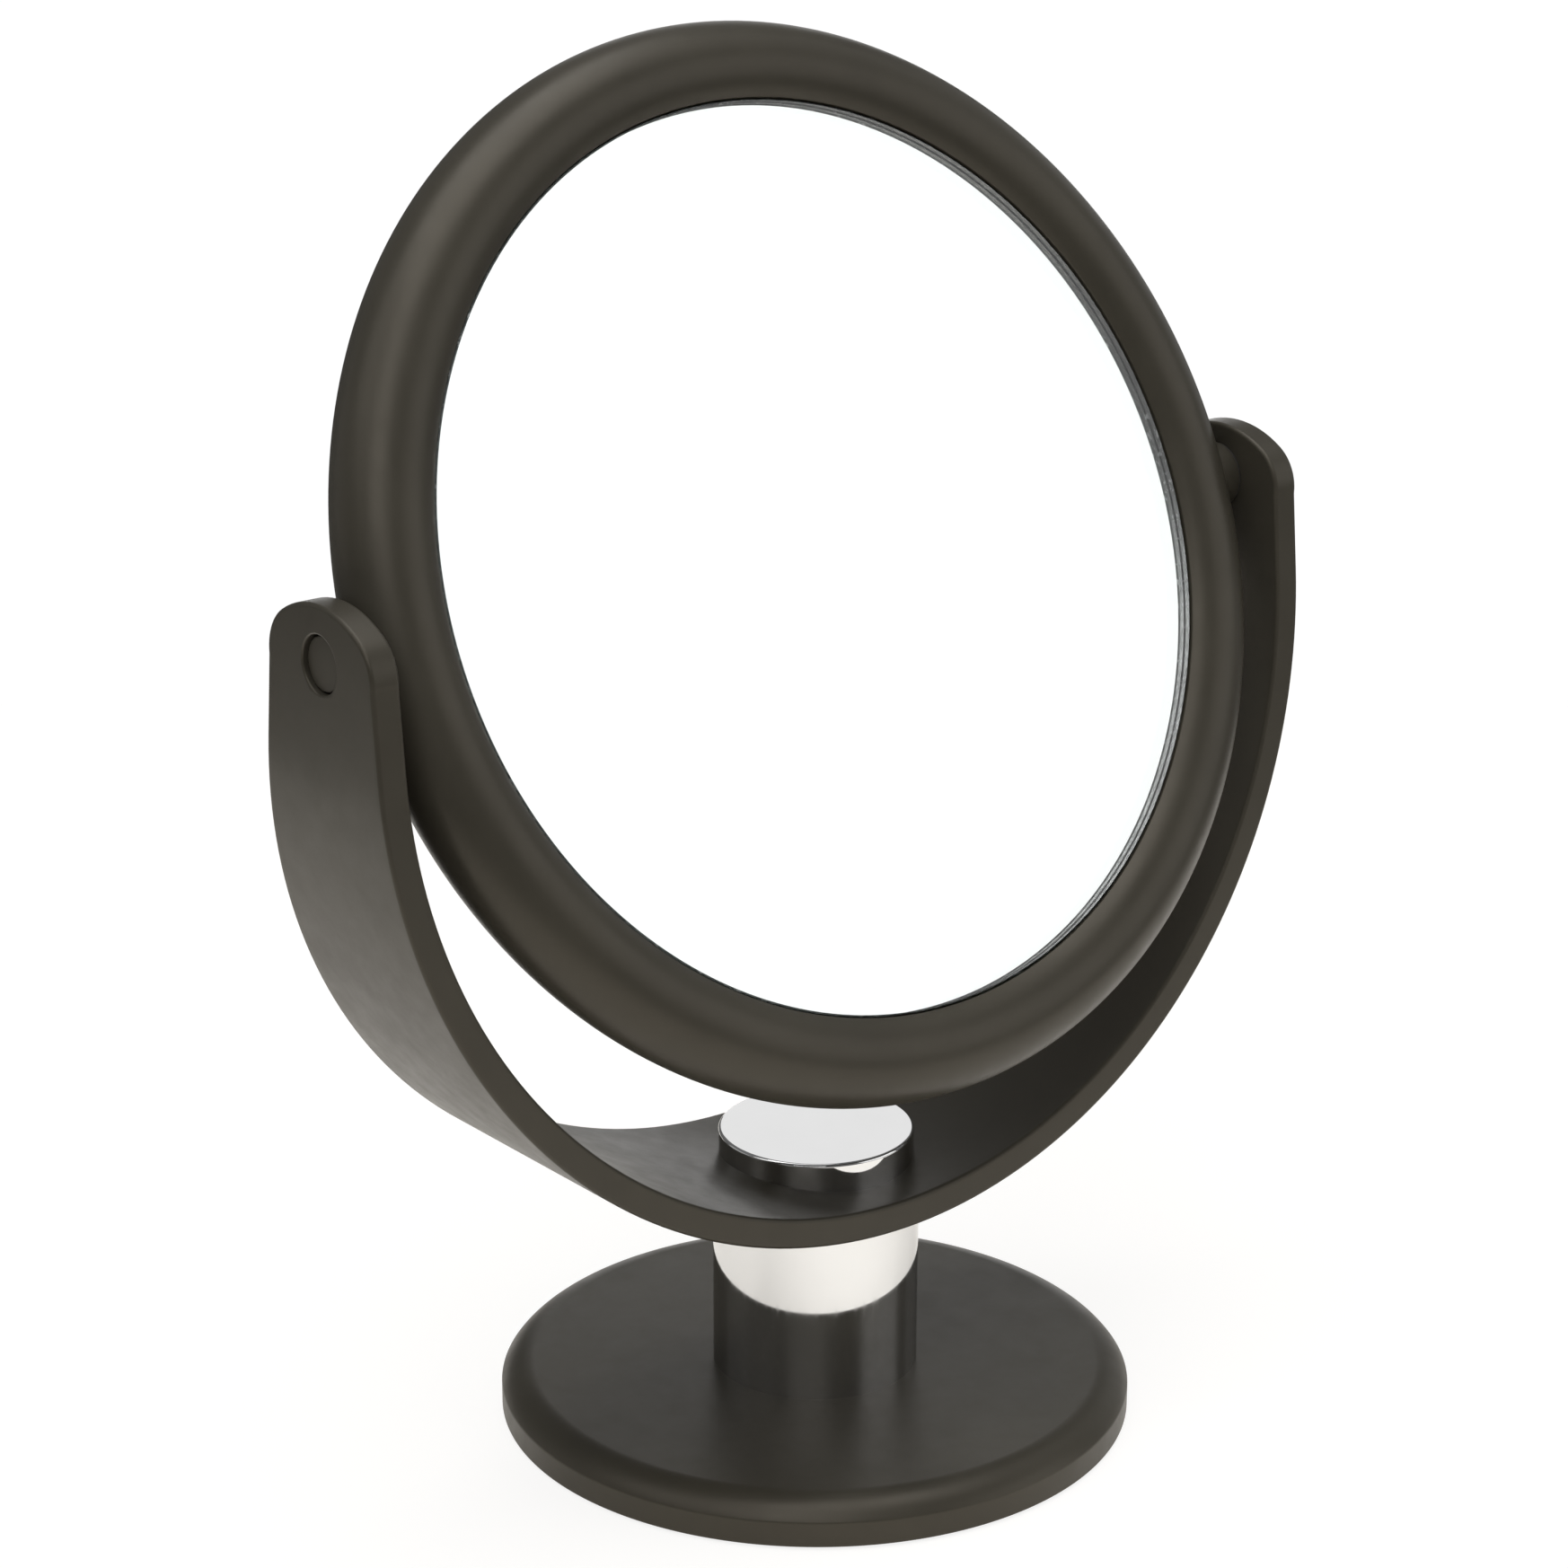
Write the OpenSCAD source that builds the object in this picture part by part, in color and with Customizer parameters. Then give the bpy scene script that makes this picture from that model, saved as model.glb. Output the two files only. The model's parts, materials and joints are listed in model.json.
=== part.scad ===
// Pedestal shaving mirror: a two-sided round mirror that tilts in a U-shaped yoke,
// which is clamped by one tie bolt between a short column on a weighted round base
// and a round cap. Millimetres, +Z up, origin under the centre of the base,
// the flat mirror faces -Y, and the tilt axis lies along X.

/* [Mirror head] */
// Radius of the frame ring's centre line
ring_r = 89.9; // [70:0.1:110]
// Radius of the frame ring's round section
section_r = 8.9; // [8.6:0.1:11]
// Wall of the hollow ring
ring_wall = 2; // [1.6:0.1:2.3]
// Thickness of the flat glass
flat_glass_t = 3; // [2.5:0.1:3.6]
// Thickness of the magnifying glass
curved_glass_t = 2.5; // [2:0.1:3]
// Radius of the magnifying glass's hollow face
curve_r = 900; // [750:10:1600]
// Gap between a glass's edge and its recess
glass_gap = 0.3; // [0.2:0.05:0.5]
// Thickness of the foam tape under the flat glass
tape_t = 1; // [0.6:0.1:1.2]
// Radial width of the seat under each glass
seat_w = 7.5; // [6:0.5:12]
// Thickness of the seat under each glass
seat_t = 1.4; // [1:0.1:1.6]
// Angle that the head leans back at rest, in degrees
rest_tilt = 23; // [0:1:40]

/* [Yoke] */
// Gap between the cap's top and the lowest point of the upright head
head_clearance = 11.6; // [6:0.1:40]
// Thickness of the yoke's band
yoke_t = 5.5; // [5:0.1:8]
// Width of the yoke's band at its lowest point
yoke_low_w = 54.6; // [44:0.1:70]
// Width of the yoke's arms at the tilt axis
arm_w = 31.6; // [28:0.1:40]
// Distance from the tilt axis to the top of the arms
arm_rise = 10.2; // [9:0.1:16]
// Radius of the corners at the top of the arms
arm_corner_r = 9; // [6:0.5:12]
// Radius of the crown at the top of the arms
arm_crown_r = 22; // [18:0.5:40]
// Gap between the frame ring and each arm
side_gap = 1.4; // [1:0.1:3]

/* [Pivots] */
// Radius of the shoulder that the head turns on
shoulder_r = 2.5; // [2:0.1:3]
// Radial clearance of that shoulder in the arm
running_gap = 0.05; // [0.03:0.01:0.08]
// Radius of the thread on the pivot screws
pivot_thread_r = 1.95; // [1.5:0.05:1.95]
// Length of the thread on the pivot screws
pivot_thread_len = 7.5; // [5:0.5:10]
// Radius of the pivot screw heads
pivot_head_r = 4.3; // [3.6:0.1:4.5]
// Thickness of the pivot screw heads
pivot_head_t = 1.5; // [1.2:0.1:1.6]
// Radius of the bosses on the ring
boss_r = 6.5; // [5.5:0.1:6.5]
// Radius of the recess in each arm
recess_r = 5.1; // [5:0.1:6]
// Depth from the arm's face to the plug
plug_sink = 0.9; // [0.5:0.1:1]
// Thickness of the plugs
plug_t = 1; // [0.8:0.1:1.1]
// Thickness of the web that the pivot screws clamp
web_t = 1.4; // [1.2:0.1:1.5]
// Thickness of the friction washers
friction_washer_t = 0.4; // [0.3:0.05:0.5]
// Height of the spring washers
spring_washer_h = 0.45; // [0.4:0.05:0.5]

/* [Column and cap] */
// Height of the yoke's lowest point above the table
yoke_low_h = 45; // [38:0.5:60]
// Outer radius of the column
column_r = 19.5; // [16:0.5:24]
// Wall of the column tube
column_wall = 2; // [1:0.1:3]
// Radius of the cap
cap_r = 18.45; // [15:0.05:24]
// Height of the cap above the yoke's band
cap_rise = 5.9; // [5:0.1:10]
// Radius of the cap's top edge
cap_edge_r = 0.6; // [0.3:0.1:1.2]
// Radius of the spigot under the cap
spigot_r = 8; // [6:0.5:10]
// Radius of the tie bolt's shank
tie_r = 2.95; // [2.5:0.05:3.5]
// Height of the plug in the foot of the column
foot_insert_h = 8; // [5:0.5:12]
// Height of the plug in the head of the column
head_insert_h = 8; // [6:0.5:12]

/* [Base] */
// Radius of the base
base_r = 60; // [50:1:80]
// Height of the base's top above the table
base_h = 9; // [9:0.5:16]
// Height of the soft edge between the base's side and shoulder
base_edge_h = 5.4; // [5:0.1:5.9]
// Radius of the base's shoulder
base_shoulder_r = 7.5; // [7:0.1:8.5]
// Wall of the base cover
base_wall = 2; // [1.5:0.1:2.2]
// Height of the cover's rim above the table
rim_lift = 0.5; // [0.3:0.1:1]
// Thickness of the non-slip pad
pad_t = 1.5; // [1.2:0.1:2]
// Thickness of the base plate
plate_t = 1; // [0.8:0.1:1.2]
// Thickness of the washer under the tie bolt's head
tie_washer_t = 1.5; // [1:0.1:1.6]
// Number of screws in the base plate
base_screw_count = 3; // [3:1:6]
// Distance of those screws from the centre
base_screw_pcr = 40; // [30:1:48]

/* [Hidden] */
$fn = 120;

left = -1;
right = 1;
fit_gap = 0.05;
face_gap = 0.05;

// Mirror head, measured from the ring's mid-plane
seat_low = 0.4;
seat_top = seat_low + seat_t;
glass_face = seat_top + tape_t + flat_glass_t;
glass_hole_r = ring_r - sqrt(pow(section_r, 2) - pow(glass_face, 2));
glass_r = glass_hole_r - glass_gap;
seat_r = glass_hole_r - seat_w;
tape_margin = 0.5;
hollow_r = section_r - ring_wall;
inner_wall_r = glass_hole_r + ring_wall;
curve_z = glass_face + sqrt(pow(curve_r, 2) - pow(glass_r, 2));
tape_squeeze = 0.02;
tongue_t = 0.7;
tongue_h = 0.8;
tongue_r = ring_r + section_r - ring_wall / 2;

// Distance of the magnifying glass's back from the mid-plane, at one radius
function curved_back(radius) =
    curve_z - sqrt(pow(curve_r + curved_glass_t, 2) - pow(radius, 2));

// Yoke
head_r = ring_r + section_r;
arm_in = head_r + side_gap;
arm_out = arm_in + yoke_t;
bend_z = yoke_low_h + arm_out;
yoke_floor = yoke_low_h + yoke_t;
cap_top = yoke_floor + cap_rise;
pivot_h = cap_top + head_clearance + head_r;
arm_top = pivot_h + arm_rise;
corner_y = arm_w / 2 - arm_corner_r;
crown_z = arm_top - arm_crown_r;
corner_z = crown_z + sqrt(pow(arm_crown_r - arm_corner_r, 2) - pow(corner_y, 2));
crown_y = corner_y * arm_crown_r / (arm_crown_r - arm_corner_r);

// Pivots, measured along the tilt axis
web_face = arm_in + web_t;
boss_face = arm_in - face_gap - friction_washer_t;
boss_back = inner_wall_r + fit_gap;
spring_washer_x = web_face + face_gap;
spring_washer_w = 1.5;
spring_washer_t = 0.25;
pivot_head_x = spring_washer_x + spring_washer_h;
plug_x = arm_out - plug_sink - plug_t;
insert_wall = 1.2;
insert_len = pivot_thread_len + 0.5;
insert_r = pivot_thread_r + fit_gap + insert_wall;
hex_key_r = 1.44;
hex_key_depth = 0.9;

// Column and cap
saddle_rise = 6;
spigot_low = yoke_low_h - 7;
cap_insert_r = tie_r + fit_gap + 1.5;
cap_insert_top = yoke_floor + 1;
tie_top = cap_insert_top - 1;
tie_head_r = 5;
tie_head_h = 3;
tie_key_r = 2.3;
tie_key_depth = 1.8;

// Base
base_ceiling = base_h - base_wall;
shoulder_z = base_h - base_shoulder_r;
flat_top_r = base_r - sqrt(pow(base_shoulder_r, 2) - pow(base_edge_h - shoulder_z, 2));
plate_r = base_r - base_wall - 0.3;
plate_top = pad_t + plate_t;
weight_r = flat_top_r - 0.3;
tie_washer_r = 10;
weight_hole_r = tie_washer_r + 0.5;
screw_r = 1.2;
screw_head_r = 2.6;
screw_head_h = 0.9;
screw_post_r = 3.5;
screw_post_low = plate_top + 0.1;
screw_top = base_ceiling + 0.2;

// Puts the head's own frame, with the flat glass towards local +Z, on the tilt axis
module in_head() {
    translate([0, 0, pivot_h]) rotate([90 - rest_tilt, 0, 0]) children();
}

// Turns a (radius, distance) outline about the tilt axis, outwards on one side
module turned_on_pivot(side) {
    translate([0, 0, pivot_h])
        rotate([0, 0, side < 0 ? 180 : 0])
            rotate([0, 90, 0])
                rotate_extrude() children();
}

// A round rod on the tilt axis, from one distance to another
module pivot_rod(side, radius, from, to) {
    turned_on_pivot(side) translate([0, from]) square([radius, to - from]);
}

module band(r_in, r_out, low, high) {
    translate([r_in, low]) square([r_out - r_in, high - low]);
}

module at_base_screws() {
    for (i = [0 : base_screw_count - 1])
        rotate([0, 0, 90 + i * 360 / base_screw_count])
            translate([base_screw_pcr, 0, 0]) children();
}

// ---- Mirror head ----

// Half of the hollow ring with the seat for one glass
module frame_half_outline() {
    intersection() {
        translate([seat_r, 0]) square([head_r, section_r]);
        union() {
            difference() {
                translate([ring_r, 0]) circle(section_r);
                intersection() {
                    translate([ring_r, 0]) circle(hollow_r);
                    band(inner_wall_r, head_r, -section_r, section_r);
                }
                band(0, glass_hole_r, seat_top, section_r);
            }
            band(seat_r, inner_wall_r, seat_low, seat_top);
        }
    }
}

module tongue_outline(gap) {
    band(tongue_r - tongue_t / 2 - gap, tongue_r + tongue_t / 2 + gap, -tongue_h - gap, 0.5);
}

module boss_holes() {
    for (side = [left, right])
        pivot_rod(side, boss_r + fit_gap, boss_back - fit_gap, arm_in);
}

module front_frame() {
    color([0.25, 0.245, 0.235]) difference() {
        in_head() rotate_extrude($fn = 240) {
            frame_half_outline();
            tongue_outline(0);
        }
        boss_holes();
    }
}

module rear_frame() {
    color([0.25, 0.245, 0.235]) difference() {
        in_head() rotate_extrude($fn = 240) difference() {
            mirror([0, 1]) frame_half_outline();
            tongue_outline(fit_gap);
        }
        boss_holes();
    }
}

module flat_glass() {
    color([0.9, 0.92, 0.93]) in_head()
        rotate_extrude($fn = 240) band(0, glass_r, glass_face - flat_glass_t, glass_face);
}

// The mirror's hollow face and its parallel back are parts of two spheres
module magnifying_glass() {
    color([0.9, 0.92, 0.93]) in_head() mirror([0, 0, 1])
        rotate_extrude($fn = 240) intersection() {
            translate([0, curve_z]) difference() {
                circle(curve_r + curved_glass_t, $fn = 1440);
                circle(curve_r, $fn = 1440);
            }
            band(0, glass_r, -glass_face, glass_face);
        }
}

module flat_glass_tape() {
    color("white") in_head() rotate_extrude($fn = 240)
        band(seat_r + tape_margin, glass_r - tape_margin, seat_top, seat_top + tape_t);
}

// The tape fills the wedge between the flat seat and the glass's round back
module magnifying_glass_tape() {
    inner = seat_r + tape_margin;
    outer = glass_r - tape_margin;
    color("white") in_head() mirror([0, 0, 1]) rotate_extrude($fn = 240) polygon([
        [inner, seat_top], [outer, seat_top],
        [outer, curved_back(outer) - tape_squeeze], [inner, curved_back(inner) - tape_squeeze]
    ]);
}

// ---- Pivots ----

module pivot_boss(side) {
    color([0.25, 0.245, 0.235]) difference() {
        pivot_rod(side, boss_r, boss_back, boss_face);
        pivot_rod(side, insert_r, boss_face - insert_len, boss_face + 1);
    }
}

module thread_insert(side) {
    color("goldenrod") turned_on_pivot(side)
        band(pivot_thread_r + fit_gap, insert_r, boss_face - insert_len, boss_face);
}

// Flat head with a hex recess, plain shoulder and thread
module pivot_screw(side) {
    color("silver") difference() {
        union() {
            pivot_rod(side, pivot_thread_r, boss_face - pivot_thread_len, boss_face);
            pivot_rod(side, shoulder_r, boss_face, pivot_head_x);
            pivot_rod(side, pivot_head_r, pivot_head_x, pivot_head_x + pivot_head_t);
        }
        translate([side * (pivot_head_x + pivot_head_t), 0, pivot_h]) rotate([0, 90, 0])
            cylinder(h = 2 * hex_key_depth, r = hex_key_r, center = true, $fn = 6);
    }
}

// Shallow cone that presses the arm's web against the friction washer
module spring_washer(side) {
    inner = shoulder_r + 0.2;
    outer = inner + spring_washer_w;
    color("silver") turned_on_pivot(side) translate([0, spring_washer_x]) polygon([
        [inner, spring_washer_h - spring_washer_t], [outer, 0],
        [outer, spring_washer_t], [inner, spring_washer_h]
    ]);
}

module friction_washer(side) {
    color([0.15, 0.15, 0.15]) turned_on_pivot(side)
        band(shoulder_r + 0.1, boss_r - 0.2, boss_face, boss_face + friction_washer_t);
}

module pivot_plug(side) {
    color([0.25, 0.245, 0.235])
        pivot_rod(side, recess_r - fit_gap, plug_x, plug_x + plug_t);
}

// ---- Yoke ----

// The U seen from the front: round below, with straight arms
module yoke_front_outline() {
    difference() {
        union() {
            translate([0, bend_z]) circle(arm_out, $fn = 240);
            band(-arm_out, arm_out, bend_z, arm_top + 1);
        }
        translate([0, bend_z]) circle(arm_in, $fn = 240);
        band(-arm_in, arm_in, bend_z, arm_top + 2);
    }
}

// The yoke seen from the side: wide at the column, with crowned arm ends
module yoke_side_outline() {
    taper = (yoke_low_w - arm_w) / 2 / (corner_z - yoke_low_h);
    low_y = arm_w / 2 + taper * (corner_z - yoke_low_h + 1);
    polygon([
        [-low_y, yoke_low_h - 1], [low_y, yoke_low_h - 1],
        [arm_w / 2, corner_z], [-arm_w / 2, corner_z]
    ]);
    for (side = [left, right])
        translate([side * corner_y, corner_z]) circle(arm_corner_r);
    intersection() {
        translate([0, crown_z]) circle(arm_crown_r);
        band(-crown_y, crown_y, corner_z, arm_top + 1);
    }
}

module yoke() {
    color([0.25, 0.245, 0.235]) difference() {
        intersection() {
            rotate([90, 0, 0])
                linear_extrude(height = 2 * yoke_low_w, center = true) yoke_front_outline();
            rotate([90, 0, 90])
                linear_extrude(height = 3 * arm_out, center = true) yoke_side_outline();
        }
        for (side = [left, right]) {
            pivot_rod(side, shoulder_r + running_gap, arm_in - 1, arm_out);
            pivot_rod(side, recess_r, web_face, arm_out + 1);
        }
        cylinder(h = cap_top, r = spigot_r + fit_gap);
    }
}

// ---- Column and cap ----

// Everything below the round underside of the yoke
module under_yoke(radius) {
    difference() {
        translate([0, 0, base_h])
            cylinder(h = yoke_low_h + saddle_rise - base_h, r = radius);
        translate([0, 0, bend_z]) rotate([90, 0, 0])
            cylinder(h = 4 * radius, r = arm_out, center = true, $fn = 240);
    }
}

module column_tube() {
    color([0.85, 0.86, 0.87]) difference() {
        under_yoke(column_r);
        translate([0, 0, base_h - 1])
            cylinder(h = yoke_low_h + saddle_rise, r = column_r - column_wall);
    }
}

module column_head_insert() {
    color("dimgray") difference() {
        under_yoke(column_r - column_wall - fit_gap);
        translate([0, 0, -head_insert_h]) cylinder(h = yoke_low_h, r = column_r);
        cylinder(h = cap_top, r = spigot_r + fit_gap);
    }
}

module column_foot_insert() {
    color("dimgray") translate([0, 0, base_h]) difference() {
        cylinder(h = foot_insert_h, r = column_r - column_wall - fit_gap);
        translate([0, 0, -1]) cylinder(h = foot_insert_h + 2, r = tie_r + 2 * fit_gap);
    }
}

// Cap outline with a rounded top edge
module cap_outline() {
    band(0, cap_r - cap_edge_r, yoke_low_h, cap_top);
    band(0, cap_r, yoke_low_h, cap_top - cap_edge_r);
    translate([cap_r - cap_edge_r, cap_top - cap_edge_r]) circle(cap_edge_r);
}

module column_cap() {
    color([0.85, 0.86, 0.87]) difference() {
        union() {
            intersection() {
                rotate_extrude() cap_outline();
                translate([0, 0, bend_z]) rotate([90, 0, 0])
                    cylinder(h = 4 * cap_r, r = arm_in, center = true, $fn = 240);
            }
            translate([0, 0, spigot_low]) cylinder(h = cap_insert_top - spigot_low, r = spigot_r);
        }
        translate([0, 0, spigot_low - 1])
            cylinder(h = cap_insert_top - spigot_low + 1, r = cap_insert_r);
    }
}

module cap_insert() {
    color("goldenrod") rotate_extrude()
        band(tie_r + fit_gap, cap_insert_r, spigot_low, cap_insert_top);
}

module tie_bolt() {
    head_top = base_ceiling - tie_washer_t;
    color("silver") difference() {
        rotate_extrude() {
            band(0, tie_r, head_top - 1, tie_top);
            band(0, tie_head_r, head_top - tie_head_h, head_top);
        }
        translate([0, 0, head_top - tie_head_h])
            cylinder(h = 2 * tie_key_depth, r = tie_key_r, center = true, $fn = 6);
    }
}

module tie_washer() {
    color("silver") rotate_extrude()
        band(tie_r + 2 * fit_gap, tie_washer_r, base_ceiling - tie_washer_t, base_ceiling);
}

// ---- Base ----

// The base's outline moved inwards by a wall: flat top, round shoulder, upright side
module base_outline(inset, low) {
    side_r = base_r - inset;
    arc_r = base_shoulder_r - inset;
    side_top = shoulder_z + sqrt(pow(arc_r, 2) - pow(side_r - flat_top_r, 2));
    intersection() {
        band(0, side_r, low, base_h - inset);
        union() {
            band(0, flat_top_r, low, base_h - inset);
            band(0, side_r, low, side_top);
            translate([flat_top_r, shoulder_z]) circle(arc_r);
        }
    }
}

module base_cover() {
    color([0.25, 0.245, 0.235]) difference() {
        union() {
            rotate_extrude($fn = 240) difference() {
                base_outline(0, rim_lift);
                base_outline(base_wall, rim_lift - 1);
            }
            at_base_screws() translate([0, 0, screw_post_low])
                cylinder(h = base_ceiling - screw_post_low + 0.5, r = screw_post_r);
        }
        cylinder(h = base_h + 1, r = tie_r + 2 * fit_gap);
        at_base_screws() cylinder(h = screw_top + 0.3, r = screw_r + fit_gap);
    }
}

module base_weight() {
    color("slategray") difference() {
        translate([0, 0, plate_top]) cylinder(h = base_ceiling - plate_top, r = weight_r);
        cylinder(h = base_h, r = weight_hole_r);
        at_base_screws() cylinder(h = base_h, r = screw_post_r + 0.2);
    }
}

// Countersunk screw, with its head level with the underside of the plate
module base_screw_outline(gap) {
    polygon([
        [0, pad_t], [screw_head_r + gap, pad_t], [screw_r + gap, pad_t + screw_head_h],
        [screw_r + gap, screw_top], [0, screw_top]
    ]);
}

module base_plate() {
    color("gray") difference() {
        translate([0, 0, pad_t]) cylinder(h = plate_t, r = plate_r);
        at_base_screws() rotate_extrude() base_screw_outline(fit_gap);
    }
}

module base_pad() {
    color("black") cylinder(h = pad_t, r = plate_r);
}

module base_screws() {
    color("silver") at_base_screws() rotate_extrude() base_screw_outline(0);
}

front_frame();
rear_frame();
flat_glass();
magnifying_glass();
flat_glass_tape();
magnifying_glass_tape();
pivot_boss(left);  // left_pivot_boss
pivot_boss(right);  // right_pivot_boss
thread_insert(left);  // left_thread_insert
thread_insert(right);  // right_thread_insert
pivot_screw(left);  // left_pivot_screw
pivot_screw(right);  // right_pivot_screw
spring_washer(left);  // left_spring_washer
spring_washer(right);  // right_spring_washer
friction_washer(left);  // left_friction_washer
friction_washer(right);  // right_friction_washer
yoke();
pivot_plug(left);  // left_pivot_plug
pivot_plug(right);  // right_pivot_plug
column_tube();
column_head_insert();
column_foot_insert();
column_cap();
cap_insert();
tie_bolt();
tie_washer();
base_cover();
base_weight();
base_plate();
base_pad();
base_screws();
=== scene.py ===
import json
import math

import bmesh
import bpy
from bpy.props import FloatProperty, FloatVectorProperty, PointerProperty
from mathutils import Matrix, Vector


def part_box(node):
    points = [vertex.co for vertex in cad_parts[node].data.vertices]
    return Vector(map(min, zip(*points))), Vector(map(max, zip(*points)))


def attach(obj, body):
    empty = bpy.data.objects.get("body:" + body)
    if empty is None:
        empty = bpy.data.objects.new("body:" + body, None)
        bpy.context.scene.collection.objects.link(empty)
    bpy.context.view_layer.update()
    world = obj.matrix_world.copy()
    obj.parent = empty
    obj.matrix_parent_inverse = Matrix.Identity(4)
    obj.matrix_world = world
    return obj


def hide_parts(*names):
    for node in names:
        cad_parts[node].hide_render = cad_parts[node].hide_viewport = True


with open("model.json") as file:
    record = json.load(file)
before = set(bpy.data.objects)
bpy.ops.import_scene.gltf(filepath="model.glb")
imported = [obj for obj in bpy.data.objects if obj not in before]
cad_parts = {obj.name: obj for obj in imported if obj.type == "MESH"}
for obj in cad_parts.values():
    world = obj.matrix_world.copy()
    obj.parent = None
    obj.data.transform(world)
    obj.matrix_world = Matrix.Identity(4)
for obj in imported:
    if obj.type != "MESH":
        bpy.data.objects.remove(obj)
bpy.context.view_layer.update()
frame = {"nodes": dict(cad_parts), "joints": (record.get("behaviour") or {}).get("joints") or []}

bl_info = {
    "name": "Pedestal shaving mirror",
    "version": (1, 0, 0),
    "blender": (4, 5, 0),
    "location": "3D View > Sidebar > Mirror",
    "description": "Makes the visible pieces of a two-sided pedestal mirror round its packed frame",
    "category": "Object",
}

MM = 0.001
FINE = 256  # steps round the ring, the glasses and the base
ROUND = 192  # steps round the column and the cap
SMALL = 96  # steps round the pivots
SHARP = math.radians(38)  # edges bent more than this stay sharp
HIDDEN_GAP = 0.05 * MM  # joint between pieces that touch out of sight
SLIVER = 0.003 * MM  # edges shorter than this, which a cut leaves behind, are closed up
BASE_SCREW_TURNS = (90, 210, 330)
POST_OVERLAP = 0.5 * MM  # how far the screw posts run into the cover's wall
BORE_OVERRUN = 0.3 * MM  # how far their bores run past the screws
BEND_STEPS = 120  # steps round the yoke's half circle
ARM_STEPS = 4  # steps along each straight arm
EDGE_STEPS = 6  # steps round the yoke's eased edges
COLOUR_A, COLOUR_B, COLOUR_OUT = 6, 7, 2  # the colour sockets of a Mix node
SENSOR = 36  # the camera's film width, in millimetres
WHITE = 1.02  # what the eye sees as white
FLOOR_BLEACH = 0.75  # share of the floor's own light and shade that white covers to the eye


# ---- Places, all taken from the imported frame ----

pivot = Vector(frame["joints"][0]["pos_m"])


def middle(node):
    low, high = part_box(node)
    return (low + high) / 2


def head_matrix():
    """The head's own frame at rest: local +Z leaves the flat glass, local +X is the tilt axis."""
    facing = (middle("flat_glass") - pivot).normalized()
    across = Vector((1, 0, 0))
    turn = Matrix((across, facing.cross(across), facing)).transposed()
    return Matrix.Translation(pivot) @ turn.to_4x4()


def pivot_matrix(side):
    """A frame on the tilt axis with local +Z outwards, on one side."""
    out = Vector((side, 0, 0))
    up = Vector((0, 0, 1))
    turn = Matrix((up.cross(out), out.cross(up.cross(out)), out)).transposed()
    return Matrix.Translation(pivot) @ turn.to_4x4()


def span(node, axis):
    low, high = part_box(node)
    return low[axis], high[axis]


def reach(node, side):
    """Nearest and farthest distance of a pivot piece from the middle, along the tilt axis."""
    low, high = span(node, 0)
    return (low, high) if side > 0 else (-high, -low)


def round_radius(node):
    """Radius of a piece that is round about the tilt axis."""
    low, high = span(node, 2)
    return (high - low) / 2


# ---- Sizes and colours that a user would change ----


def length(name, description, default, low=0.0, high=2.0):
    return FloatProperty(
        name=name, description=description, default=default, min=low, max=high,
        unit="LENGTH", precision=5,
    )


def colour(name, description, default):
    return FloatVectorProperty(
        name=name, description=description, default=default, min=0, max=1,
        size=3, subtype="COLOR",
    )


def angle(name, description, degrees):
    return FloatProperty(
        name=name, description=description, default=math.radians(degrees), subtype="ANGLE",
    )


def brightness(name, description, default):
    return FloatProperty(name=name, description=description, default=default, min=0, max=10)


class MIRROR_PG_head(bpy.types.PropertyGroup):
    tube: length("Tube radius", "Radius of the frame ring's round section", 8.9 * MM)
    wall: length("Ring wall", "Wall of the hollow ring", 2 * MM)
    lip: length("Lip easing", "Rounding of the ring's edge beside the glass", 0.35 * MM)
    flat_glass: length("Flat glass", "Thickness of the flat glass", 3 * MM)
    curved_glass: length("Magnifying glass", "Thickness of the magnifying glass", 2.5 * MM)
    curve: length("Curve radius", "Radius of the magnifying glass's hollow face", 0.9)
    tape: length("Tape", "Thickness of the foam tape under the flat glass", 1 * MM)
    seat: length("Seat thickness", "Thickness of the seat under each glass", 1.4 * MM)
    seat_width: length("Seat width", "Radial width of the seat under each glass", 7.5 * MM)
    glass_gap: length("Glass gap", "Gap between a glass's edge and its recess", 0.3 * MM)
    tongue: length("Tongue", "Thickness of the tongue that joins the ring's halves", 0.7 * MM)
    tongue_depth: length("Tongue depth", "How far the tongue reaches into its groove", 0.8 * MM)
    boss_inner: length("Boss inner easing", "Rounding of a boss's end inside the ring", 0.3 * MM)
    boss_outer: length("Boss outer easing", "Rounding of a boss's end beside the arm", 0.25 * MM)
    arris: length("Glass arris", "Width of the bevel on the edges of the glasses", 0.25 * MM)
    silver: length("Silver layer", "Thickness of the silver layer and its paint", 0.06 * MM)


class MIRROR_PG_yoke(bpy.types.PropertyGroup):
    band: length("Band thickness", "Thickness of the yoke's band", 5.5 * MM)
    arm_width: length("Arm width", "Width of the arms at the tilt axis", 31.6 * MM)
    corner: length("Corner radius", "Radius of the corners of the arm ends", 9 * MM)
    crown: length("Crown radius", "Radius of the crown of the arm ends", 22 * MM)
    edge: length("Edge rounding", "Rounding of the band's long edges", 0.75 * MM)
    recess: length("Recess radius", "Radius of the recess in each arm", 5.1 * MM)
    recess_lip: length("Recess easing", "Rounding of the recess's mouth", 0.4 * MM)
    web: length("Web", "Thickness of the web that the pivot screws clamp", 1.4 * MM)
    plug_gap: length("Plug joint", "Width of the joint round each plug", 0.25 * MM)
    plug_edge: length("Plug easing", "Rounding of each plug's edge", 0.3 * MM)
    bore: length("Pivot bore", "Radius of the bore for the pivot screw", 2.55 * MM)


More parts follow.
